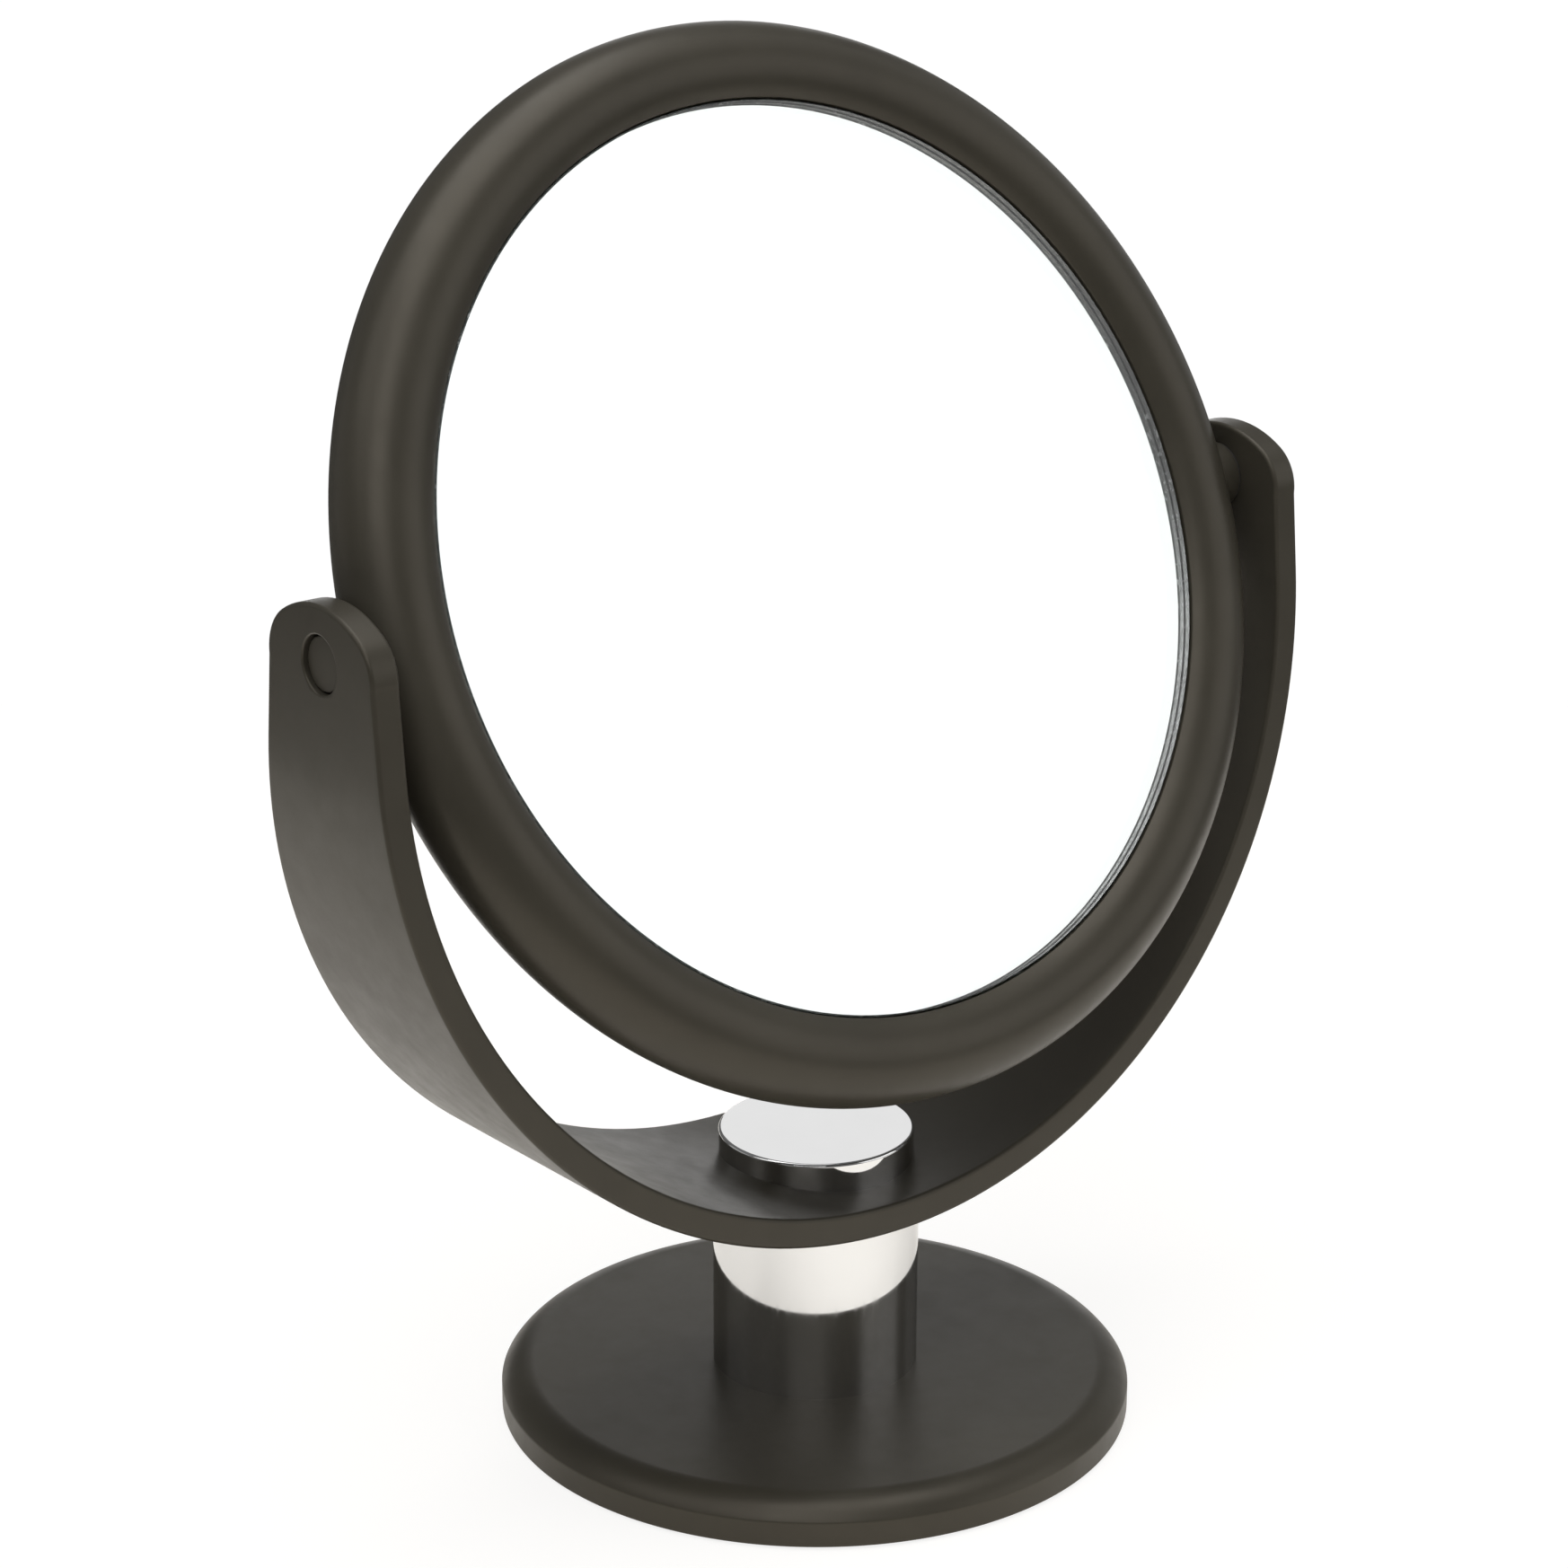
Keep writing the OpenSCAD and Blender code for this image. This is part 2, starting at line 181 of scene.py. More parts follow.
class MIRROR_PG_stand(bpy.types.PropertyGroup):
    tube_wall: length("Tube wall", "Wall of the column tube", 2 * MM)
    cap_edge: length("Cap edge", "Rounding of the cap's top edge", 0.6 * MM)
    spigot: length("Spigot radius", "Radius of the spigot under the cap", 8 * MM)
    shoulder: length("Shoulder radius", "Radius of the base's soft shoulder", 7.5 * MM)
    side_height: length("Side height", "Height where the base's shoulder meets its side", 5.4 * MM)
    crease: length("Crease easing", "Rounding where the shoulder meets the side", 0.9 * MM)
    cover_wall: length("Cover wall", "Wall of the base cover", 2 * MM)
    rim: length("Rim easing", "Rounding of the base's lower rim", 0.5 * MM)
    bolt_hole: length("Bolt hole", "Radius of the hole for the tie bolt", 3.05 * MM)
    post: length("Screw posts", "Radius of the posts for the base screws", 3.5 * MM)
    screw_head: length("Screw heads", "Radius of the base screws' heads", 2.6 * MM)
    screw_bore: length("Screw bores", "Radius of the bores in the posts", 1.25 * MM)
    post_gap: length("Post gap", "Gap between the posts and the base plate", 0.1 * MM)
    pad_edge: length("Pad easing", "Rounding of the pad's edges", 0.35 * MM)


class MIRROR_PG_finish(bpy.types.PropertyGroup):
    coating: colour(
        "Soft-touch coating", "Matte coating of ring, yoke and base", (0.0425, 0.0385, 0.0295))
    sheen: colour("Coating sheen", "Tint of the coating's soft shine", (1.0, 0.91, 0.78))
    rubbed: colour(
        "Rubbed coating", "The coating where hands have rubbed it", (0.058, 0.053, 0.043))
    chrome: colour("Chrome", "Plating of column and cap", (0.77, 0.77, 0.77))
    silver: colour("Silver", "Silver layer behind the glasses", (0.93, 0.945, 0.94))
    glass: colour("Glass", "Tint of the glass", (0.985, 0.995, 0.99))
    brass: colour("Brass", "Threaded inserts", (0.76, 0.55, 0.25))
    zinc: colour("Zinc plate", "Screws, washers and bolt", (0.62, 0.64, 0.66))
    steel: colour("Cut steel", "Base weight and base plate", (0.35, 0.35, 0.36))
    nylon: colour("Nylon", "Friction washers", (0.03, 0.029, 0.027))
    foam: colour("Foam tape", "Tape under the glasses", (0.82, 0.82, 0.8))
    plastic: colour("Moulded plastic", "Plugs inside the column", (0.09, 0.09, 0.092))
    rubber: colour("Pad rubber", "Non-slip pad", (0.022, 0.022, 0.022))


class MIRROR_PG_studio(bpy.types.PropertyGroup):
    azimuth: angle("Azimuth", "Camera's direction round the mirror", -39.43)
    elevation: angle("Elevation", "Camera's height above the horizon", 18.674)
    roll: angle("Roll", "Camera's lean", 0.33)
    distance: length("Distance", "From the camera to the point that it faces", 0.72266)
    target: length("Target height", "Height of the point that the camera faces", 0.12417)
    lens: FloatProperty(name="Lens", description="Focal length on a 36 mm sensor",
                        default=90.774, min=20, max=300, unit="CAMERA")
    shift: FloatProperty(name="Shift", description="Sideways shift of the frame",
                         default=-0.02177, min=-0.5, max=0.5, subtype="FACTOR")
    floor_size: length("Floor radius", "Radius of the pale floor", 0.5)
    floor: colour("Floor", "Colour of the floor", (0.92, 0.89, 0.84))
    floor_glow: brightness("Floor glow", "Light that comes up through the floor", 0.36)
    room: brightness("Room", "Brightness of the room round the lights", 0.12)
    brightness: brightness("Lights", "Share of every light's own brightness", 0.84)


GROUPS = {
    "mirror_head": MIRROR_PG_head,
    "mirror_yoke": MIRROR_PG_yoke,
    "mirror_stand": MIRROR_PG_stand,
    "mirror_finish": MIRROR_PG_finish,
    "mirror_studio": MIRROR_PG_studio,
}


# ---- Outlines and meshes ----


def arc(centre_r, centre_z, radius, start, end, steps):
    """Points on an arc in the outline plane, from one angle to another in degrees."""
    turns = [math.radians(start + (end - start) * i / steps) for i in range(steps + 1)]
    return [(centre_r + radius * math.cos(t), centre_z + radius * math.sin(t)) for t in turns]


def eased_lip(centre_r, centre_z, radius, wall_r, easing, side):
    """The small rounding between a round section and an upright wall.
    Returns its centre and the angle at which it leaves the section; side is +1 where the
    solid lies beyond the wall and -1 where it lies inside it."""
    lip_r = wall_r + side * easing
    lip_z = centre_z + math.sqrt((radius - easing) ** 2 - (lip_r - centre_r) ** 2)
    return lip_r, lip_z, math.degrees(math.atan2(lip_z - centre_z, lip_r - centre_r))


def eased(points, steps=5):
    """A closed outline with each (r, z, rounding) corner rounded."""
    made = []
    for i, (r, z, rounding) in enumerate(points):
        here = Vector((r, z))
        if not rounding:
            made.append((r, z))
            continue
        before = (Vector(points[i - 1][:2]) - here).normalized()
        after = (Vector(points[(i + 1) % len(points)][:2]) - here).normalized()
        half = before.angle(after) / 2
        centre = here + (before + after).normalized() * (rounding / math.sin(half))
        start = (here + before * (rounding / math.tan(half)) - centre).normalized()
        end = (here + after * (rounding / math.tan(half)) - centre).normalized()
        for k in range(steps + 1):
            made.append(tuple(centre + start.slerp(end, k / steps) * rounding))
    return made


def lathe(bm, outline, matrix, steps):
    """Turns a closed (radius, height) outline about local Z. A height may be a function of
    the point's local X, which makes a saddle. Returns the outline's faces, strip by strip."""
    rings = []
    for r, z in outline:
        if r < 1e-8:
            rings.append([bm.verts.new(matrix @ Vector((0, 0, z(0) if callable(z) else z)))])
            continue
        ring = []
        for i in range(steps):
            t = 2 * math.pi * i / steps
            x, y = r * math.cos(t), r * math.sin(t)
            ring.append(bm.verts.new(matrix @ Vector((x, y, z(x) if callable(z) else z))))
        rings.append(ring)
    strips = []
    for k, ring in enumerate(rings):
        other = rings[(k + 1) % len(rings)]
        if len(ring) == 1 and len(other) == 1:
            strips.append([])
            continue
        strip = []
        for i in range(steps):
            j = (i + 1) % steps
            if len(ring) == 1:
                corners = (ring[0], other[j], other[i])
            elif len(other) == 1:
                corners = (ring[i], ring[j], other[0])
            else:
                corners = (ring[i], ring[j], other[j], other[i])
            strip.append(bm.faces.new(corners))
        strips.append(strip)
    return strips


def to_object(bm, name):
    bmesh.ops.recalc_face_normals(bm, faces=bm.faces)
    mesh = bpy.data.meshes.new(name)
    bm.to_mesh(mesh)
    bm.free()
    made = bpy.data.objects.new(name, mesh)
    bpy.context.scene.collection.objects.link(made)
    return made


def applied(made, kind, **settings):
    """Adds one modifier and keeps its result as the mesh."""
    modifier = made.modifiers.new(kind.title(), kind)
    for key, value in settings.items():
        setattr(modifier, key, value)
    bpy.context.view_layer.update()
    graph = bpy.context.evaluated_depsgraph_get()
    mesh = bpy.data.meshes.new_from_object(made.evaluated_get(graph), depsgraph=graph)
    made.modifiers.clear()
    old, made.data = made.data, mesh
    bpy.data.meshes.remove(old)
    mesh.name = made.name


def cut(made, tool, operation="DIFFERENCE"):
    """Cuts a piece with a tool solid, or joins the tool to it."""
    before = len(made.data.polygons)
    applied(made, "BOOLEAN", operation=operation, object=tool, solver="EXACT")
    bpy.data.meshes.remove(tool.data)
    if len(made.data.polygons) == before:
        raise RuntimeError(f"{made.name}: nothing was cut")
    bm = bmesh.new()
    bm.from_mesh(made.data)
    bmesh.ops.remove_doubles(bm, verts=bm.verts, dist=SLIVER)
    bmesh.ops.dissolve_degenerate(bm, edges=bm.edges, dist=SLIVER)
    bm.to_mesh(made.data)
    bm.free()


def finish_piece(made, body, nodes, finishes):
    """Smooth shading, finishes, and the piece's place in the frame."""
    mesh = made.data
    slots = [min(face.material_index, len(finishes) - 1) for face in mesh.polygons]
    mesh.materials.clear()
    for material in finishes:
        mesh.materials.append(material)
    mesh.polygons.foreach_set("material_index", slots)
    mesh.polygons.foreach_set("use_smooth", [True] * len(mesh.polygons))
    mesh.set_sharp_from_angle(angle=SHARP)
    normals = made.modifiers.new("Flat faces stay flat", "WEIGHTED_NORMAL")
    normals.keep_sharp = True
    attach(made, body)
    if nodes:
        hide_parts(*nodes)
    return made


# ---- Finishes ----


class Finish:
    """One procedural material and the few nodes that all the finishes share."""

    def __init__(self, name):
        self.material = bpy.data.materials.new(name)
        self.material.use_nodes = True
        self.tree = self.material.node_tree
        self.shader = self.tree.nodes["Principled BSDF"]
        self.place = self.tree.nodes.new("ShaderNodeTexCoord").outputs["Object"]

    def node(self, kind, settings=(), **inputs):
        made = self.tree.nodes.new(kind)
        for key, value in dict(settings).items():
            setattr(made, key, value)
        for key, value in inputs.items():
            socket = made.inputs[key.replace("_", " ")]
            if isinstance(value, bpy.types.NodeSocket):
                self.tree.links.new(value, socket)
            else:
                socket.default_value = value
        return made

    def set(self, **values):
        for key, value in values.items():
            socket = self.shader.inputs[key.replace("_", " ")]
            if isinstance(value, bpy.types.NodeSocket):
                self.tree.links.new(value, socket)
            elif hasattr(socket.default_value, "__len__") and len(value) == 3:
                socket.default_value = (*value, 1)
            else:
                socket.default_value = value

    def noise(self, scale, detail=3.0, roughness=0.55, stretch=None):
        place = self.place
        if stretch:
            place = self.node("ShaderNodeVectorMath", {"operation": "MULTIPLY"}).outputs[0]
            maths = place.node
            self.tree.links.new(self.place, maths.inputs[0])
            maths.inputs[1].default_value = stretch
        made = self.node("ShaderNodeTexNoise", Vector=place, Scale=scale, Detail=detail,
                         Roughness=roughness)
        return made.outputs["Fac"]

    def spread(self, value, low, high, start=0.3, end=0.7):
        made = self.node("ShaderNodeMapRange", Value=value)
        made.inputs["From Min"].default_value = start
        made.inputs["From Max"].default_value = end
        made.inputs["To Min"].default_value = low
        made.inputs["To Max"].default_value = high
        return made.outputs["Result"]

    def blend(self, factor, first, second):
        made = self.node("ShaderNodeMix", {"data_type": "RGBA"})
        self.tree.links.new(factor, made.inputs["Factor"])
        for place, value in ((COLOUR_A, first), (COLOUR_B, second)):
            socket = made.inputs[place]
            if isinstance(value, bpy.types.NodeSocket):
                self.tree.links.new(value, socket)
            else:
                socket.default_value = (*value, 1)
        return made.outputs[COLOUR_OUT]

    def relief(self, *layers):
        """Bump layers, each (height, depth in metres, strength)."""
        normal = None
        for height, depth, strength in layers:
            made = self.node("ShaderNodeBump", Height=height, Distance=depth, Strength=strength)
            if normal:
                self.tree.links.new(normal, made.inputs["Normal"])
            normal = made.outputs["Normal"]
        self.tree.links.new(normal, self.shader.inputs["Normal"])


def toned(base, share):
    return tuple(min(1.0, c * share) for c in base)


def coating_finish(colours):
    """Soft-touch paint: a fine velvety grain, uneven sheen, and rubbed edges."""
    made = Finish("soft_touch_coating")
    cloud = made.noise(38, 4)
    smudge = made.noise(160, 5, 0.65)
    grain = made.noise(6500, 2)
    speck = made.noise(2600, 3, 0.7)
    tone = made.blend(made.spread(cloud, 0, 1),
                      toned(colours.coating, 0.92), toned(colours.coating, 1.08))
    dust = made.blend(made.spread(speck, 0, 0.5, 0.62, 0.8), tone, colours.rubbed)
    bend = made.node("ShaderNodeNewGeometry").outputs["Pointiness"]
    edge = made.spread(bend, 0, 0.8, 0.545, 0.62)
    made.set(Base_Color=made.blend(edge, dust, colours.rubbed))
    made.set(Roughness=made.spread(smudge, 0.33, 0.42), Specular_IOR_Level=0.4, IOR=1.47)
    made.set(Specular_Tint=colours.sheen)
    made.relief((smudge, 0.00003, 0.25), (grain, 0.00001, 0.3))
    return made.material


def chrome_finish(colours):
    """Bright plating over polished metal, with faint wipe marks."""
    made = Finish("polished_chrome")
    cloud = made.noise(60, 3)
    wipe = made.noise(900, 4, 0.6, (1, 1, 0.12))
    tone = made.blend(made.spread(cloud, 0, 1), toned(colours.chrome, 0.975), colours.chrome)
    made.set(Base_Color=tone, Metallic=1.0, Roughness=made.spread(wipe, 0.02, 0.075))
    made.relief((made.noise(45, 2), 0.00006, 0.05), (wipe, 0.000004, 0.15))
    return made.material


def silver_finish(colours):
    """Silver layer behind the glass."""
    made = Finish("mirror_silver")
    cloud = made.noise(14, 3)
    tone = made.blend(made.spread(cloud, 0, 1), toned(colours.silver, 0.985), colours.silver)
    made.set(Base_Color=tone, Metallic=1.0, Roughness=made.spread(made.noise(30, 3), 0.0, 0.012))
    return made.material


def backing_finish():
    """Grey paint that protects the silver from behind."""
    made = Finish("silver_backing_paint")
    cloud = made.noise(90, 4)
    made.set(Base_Color=made.blend(cloud, (0.2, 0.21, 0.22), (0.27, 0.28, 0.29)))
    made.set(Roughness=made.spread(cloud, 0.5, 0.65))
    made.relief((made.noise(1800, 3), 0.00002, 0.3))
    return made.material


def glass_finish(colours):
    """Clear polished glass with a trace of handling."""
    made = Finish("clear_glass")
    smear = made.noise(70, 5, 0.7)
    made.set(Base_Color=made.blend(made.spread(smear, 0, 1),
                                   colours.glass, toned(colours.glass, 0.995)))
    made.set(Transmission_Weight=1.0, IOR=1.52,
             Roughness=made.spread(smear, 0.0, 0.006, 0.45, 0.75))
    return made.material


def glass_edge_finish():
    """The glass's ground edge: painted dark for the shade of the recess that it sits in, with
    bright chips.
    """
    made = Finish("ground_glass_edge")
    grind = made.noise(900, 4, 0.7)
    chip = made.noise(420, 5, 0.75)
    cloud = made.noise(16, 2)
    # Painted shade: the edge's colour is near black, standing in for the shade of the recess round
    # the glass.
    painted_recess_shade = made.blend(made.spread(grind, 0, 1), (0.018, 0.021, 0.02), (0.07, 0.08, 0.076))
    chips = made.node("ShaderNodeMath", {"operation": "MULTIPLY"})
    made.tree.links.new(made.spread(chip, 0, 1, 0.56, 0.66), chips.inputs[0])
    made.tree.links.new(made.spread(cloud, 0.15, 1, 0.42, 0.6), chips.inputs[1])
    made.set(Base_Color=made.blend(chips.outputs[0], painted_recess_shade, (0.75, 0.78, 0.77)))
    made.set(Roughness=made.spread(grind, 0.3, 0.6), IOR=1.52, Transmission_Weight=0.4)
    made.relief((grind, 0.00006, 0.5), (chip, 0.0002, 0.35))
    return made.material


def metal_finish(name, tint, low, high, brushed):
    made = Finish(name)
    cloud = made.noise(260, 4)
    lines = made.noise(1500, 3, 0.6, brushed)
    made.set(Base_Color=made.blend(made.spread(cloud, 0, 1), toned(tint, 0.85), toned(tint, 1.08)))
    made.set(Metallic=1.0, Roughness=made.spread(lines, low, high))
    made.relief((lines, 0.00001, 0.35))
    return made.material


def moulded_finish(name, tint, low, high, grain_scale, grain_depth, strength=0.4):
    made = Finish(name)
    cloud = made.noise(130, 4)
    grain = made.noise(grain_scale, 3, 0.6)
    made.set(Base_Color=made.blend(made.spread(cloud, 0, 1), toned(tint, 0.88), toned(tint, 1.1)))
    made.set(Roughness=made.spread(grain, low, high))
    made.relief((grain, grain_depth, strength))
    return made.material


def foam_finish(name, tint, cell_scale, cell_depth):
    """Foam with open cells on its skin."""
    made = Finish(name)
    voronoi = made.node("ShaderNodeTexVoronoi", Vector=made.place, Scale=cell_scale)
    cells = voronoi.outputs["Distance"]
    cloud = made.noise(200, 4)
    made.set(Base_Color=made.blend(made.spread(cells, 0, 1, 0.1, 0.7),
                                   toned(tint, 0.8), toned(tint, 1.08)))
    made.set(Roughness=made.spread(cloud, 0.75, 0.95))
    made.relief((cells, cell_depth, 0.6), (cloud, 0.0001, 0.2))
    return made.material


def finish_named(name):
    """Makes a finish once, and hands it to every piece that asks for it."""
    if name in bpy.data.materials:
        return bpy.data.materials[name]
    colours = bpy.context.scene.mirror_finish
    makers = {
        "soft_touch_coating": lambda: coating_finish(colours),
        "polished_chrome": lambda: chrome_finish(colours),
        "mirror_silver": lambda: silver_finish(colours),
        "silver_backing_paint": backing_finish,
        "clear_glass": lambda: glass_finish(colours),
        "ground_glass_edge": glass_edge_finish,
        "turned_brass": lambda: metal_finish("turned_brass", colours.brass, 0.22, 0.4, (1, 1, 6)),
        "zinc_plate": lambda: metal_finish("zinc_plate", colours.zinc, 0.25, 0.45, (1, 1, 1)),
        "cut_steel": lambda: metal_finish("cut_steel", colours.steel, 0.35, 0.6, (0.15, 1, 1)),
        "black_nylon": lambda: moulded_finish(
            "black_nylon", colours.nylon, 0.4, 0.55, 3000, 0.00001),
        "moulded_black_plastic": lambda: moulded_finish(
            "moulded_black_plastic", colours.plastic, 0.45, 0.6, 2400, 0.00003),
        "white_foam_tape": lambda: foam_finish("white_foam_tape", colours.foam, 3500, 0.0001),
        "pad_foam_rubber": lambda: foam_finish("pad_foam_rubber", colours.rubber, 2200, 0.0002),
    }
    return makers[name]()


# ---- Pieces ----


def finish_coated(made, body, node):
    """Finishes a piece that has the soft-touch coating."""
    finish_piece(made, body, [node], [finish_named("soft_touch_coating")])


def finish_plated(made, node):
    """Finishes a chrome piece of the stand."""
    finish_piece(made, "stand", [node], [finish_named("polished_chrome")])


def ring_outline(sizes, ring_radius, wall_r, seat_low, side):
    """Section of one half of the hollow ring. Each half carries a tongue that stands out past the
    joint; the rear half's tongue is a touch wider and deeper."""
    tube, hollow = sizes.tube, sizes.tube - sizes.wall
    inner_wall = wall_r + sizes.wall
    seat_top = seat_low + sizes.seat
    lip_r, lip_z, leaves = eased_lip(ring_radius, 0, tube, wall_r, sizes.lip, 1)
    outline = arc(ring_radius, 0, tube, 0, leaves, 56)
    outline += arc(lip_r, lip_z, sizes.lip, leaves, 180, 6)[1:]
    outline += [(wall_r, seat_top), (wall_r - sizes.seat_width, seat_top),
                (wall_r - sizes.seat_width, seat_low)]
    outline += [(ring_radius - math.sqrt(tube**2 - seat_low**2), seat_low), (ring_radius - tube, 0)]
    hollow_top = math.sqrt(hollow**2 - (ring_radius - inner_wall) ** 2)
    begins = math.degrees(math.atan2(hollow_top, inner_wall - ring_radius))
    outline += [(inner_wall, 0)] + arc(ring_radius, 0, hollow, begins, 0, 28)
    tongue = ring_radius + tube - sizes.wall / 2
    half, depth = sizes.tongue / 2, sizes.tongue_depth
    if side < 0:
        half, depth = half + HIDDEN_GAP, depth + HIDDEN_GAP
    outline += [(tongue - half, 0), (tongue - half, -depth),
                (tongue + half, -depth), (tongue + half, 0)]
    if side < 0:
        outline = [(r, -z) for r, z in outline]
    return outline


def boss_tool(sizes, wall_r):
    """Two rods on the tilt axis that clear the bosses."""
    bm = bmesh.new()
    for side in (-1, 1):
        node = "left_pivot_boss" if side < 0 else "right_pivot_boss"
        radius = round_radius(node) + HIDDEN_GAP
        start, end = wall_r + sizes.wall, reach(node, side)[1] + 2 * MM
        lathe(bm, [(0, start), (radius, start), (radius, end), (0, end)], pivot_matrix(side), SMALL)
    return to_object(bm, "boss_tool")


def head_places():
    """Sizes of the head, the glasses' radius, and the flat glass's face from the pivot."""
    sizes = bpy.context.scene.mirror_head
    glass_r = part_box("flat_glass")[1].x
    face = (middle("flat_glass") - pivot).length + sizes.flat_glass / 2
    return sizes, glass_r, face


class MIRROR_OT_frame_ring(bpy.types.Operator):
    """Makes the two half shells of the frame ring"""

    bl_idname = "mirror.frame_ring"
    bl_label = "Frame ring"

    def execute(self, context):
        sizes, glass_r, face = head_places()
        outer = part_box("front_frame")[1].x
        wall_r = glass_r + sizes.glass_gap
        seat_low = face - sizes.flat_glass - sizes.tape - sizes.seat
        for name, side in (("front_frame", 1), ("rear_frame", -1)):
            bm = bmesh.new()
            outline = ring_outline(sizes, outer - sizes.tube, wall_r, seat_low, side)
            lathe(bm, outline, head_matrix(), FINE)
            made = to_object(bm, f"{name}_shell")
            cut(made, boss_tool(sizes, wall_r))
            finish_coated(made, "head", name)
        return {"FINISHED"}


def glass_piece(name, node, outline, front, back):
    """A glass disc: clear faces, a ground edge."""
    bm = bmesh.new()
    strips = lathe(bm, outline, head_matrix(), FINE)
    for k, strip in enumerate(strips):
        for face in strip:
            face.material_index = 0 if k < front or k >= back else 1
    made = to_object(bm, name)
    finish_piece(made, "head", [node],
                 [finish_named("clear_glass"), finish_named("ground_glass_edge")])
    return made


def silver_piece(name, outline, painted):
    """The silver layer behind a glass, painted from one strip of its outline onwards."""
    bm = bmesh.new()
    for strip in lathe(bm, outline, head_matrix(), FINE)[painted:]:
        for face in strip:
            face.material_index = 1
    finish_piece(to_object(bm, name), "head", [],
                 [finish_named("mirror_silver"), finish_named("silver_backing_paint")])


class MIRROR_OT_flat_glass(bpy.types.Operator):
    """Makes the flat glass and its silver layer"""

    bl_idname = "mirror.flat_glass"
    bl_label = "Flat glass"

    def execute(self, context):
        sizes, glass_r, face = head_places()
        back = face - sizes.flat_glass + sizes.silver + HIDDEN_GAP / 2
        bevel = sizes.arris
        outline = [(0, face), (glass_r - bevel, face), (glass_r, face - bevel),
                   (glass_r, back + bevel), (glass_r - bevel, back), (0, back)]
        glass_piece("flat_glass_disc", "flat_glass", outline, 1, 4)
        top = back - HIDDEN_GAP / 2
        low = top - sizes.silver
        rim = glass_r - bevel
        silver_piece("flat_glass_silver", [(0, top), (rim, top), (rim, low), (0, low)], 2)
        return {"FINISHED"}


class MIRROR_OT_magnifying_glass(bpy.types.Operator):
    """Makes the hollow magnifying glass and its silver layer, on the head's other side"""

    bl_idname = "mirror.magnifying_glass"
    bl_label = "Magnifying glass"

    def execute(self, context):
        sizes, glass_r, face = head_places()
        centre = face + math.sqrt(sizes.curve**2 - glass_r**2)
        rings = 24
        bevel = sizes.arris
        steps = [i / rings for i in range(rings + 1)]

        def bowl(curve, rim):
            return [(rim * t, math.sqrt(curve**2 - (rim * t) ** 2) - centre) for t in steps]

        thickness = sizes.curved_glass - sizes.silver - HIDDEN_GAP / 2
        front = bowl(sizes.curve, glass_r - bevel)
        back = bowl(sizes.curve + thickness, glass_r - bevel)
        rim = [(glass_r, front[-1][1] + bevel), (glass_r, back[-1][1] - bevel)]
        outline = front + rim + back[::-1]
        glass_piece("magnifying_glass_disc", "magnifying_glass", outline, rings, rings + 3)
        near = bowl(sizes.curve + thickness + HIDDEN_GAP / 2, glass_r - bevel)
        far = bowl(sizes.curve + sizes.curved_glass, glass_r - bevel)
        silver_piece("magnifying_glass_silver", near + far[::-1], rings + 1)
        return {"FINISHED"}


class MIRROR_OT_pivot_bosses(bpy.types.Operator):
    """Makes the two bosses between the ring and the arms"""

    bl_idname = "mirror.pivot_bosses"
    bl_label = "Pivot bosses"

    def execute(self, context):
        sizes = context.scene.mirror_head
        for word, side in (("left", -1), ("right", 1)):
            radius = round_radius(f"{word}_pivot_boss")
            start, end = reach(f"{word}_pivot_boss", side)
            pocket = round_radius(f"{word}_thread_insert")
            floor = reach(f"{word}_thread_insert", side)[0]
            outline = eased([(0, start, 0), (radius, start, sizes.boss_inner),
                             (radius, end, sizes.boss_outer),
                             (pocket, end, 0), (pocket, floor, 0), (0, floor, 0)])
            bm = bmesh.new()
            lathe(bm, outline, pivot_matrix(side), SMALL)
            finish_coated(to_object(bm, f"{word}_pivot_boss_turned"), "head", f"{word}_pivot_boss")
        return {"FINISHED"}


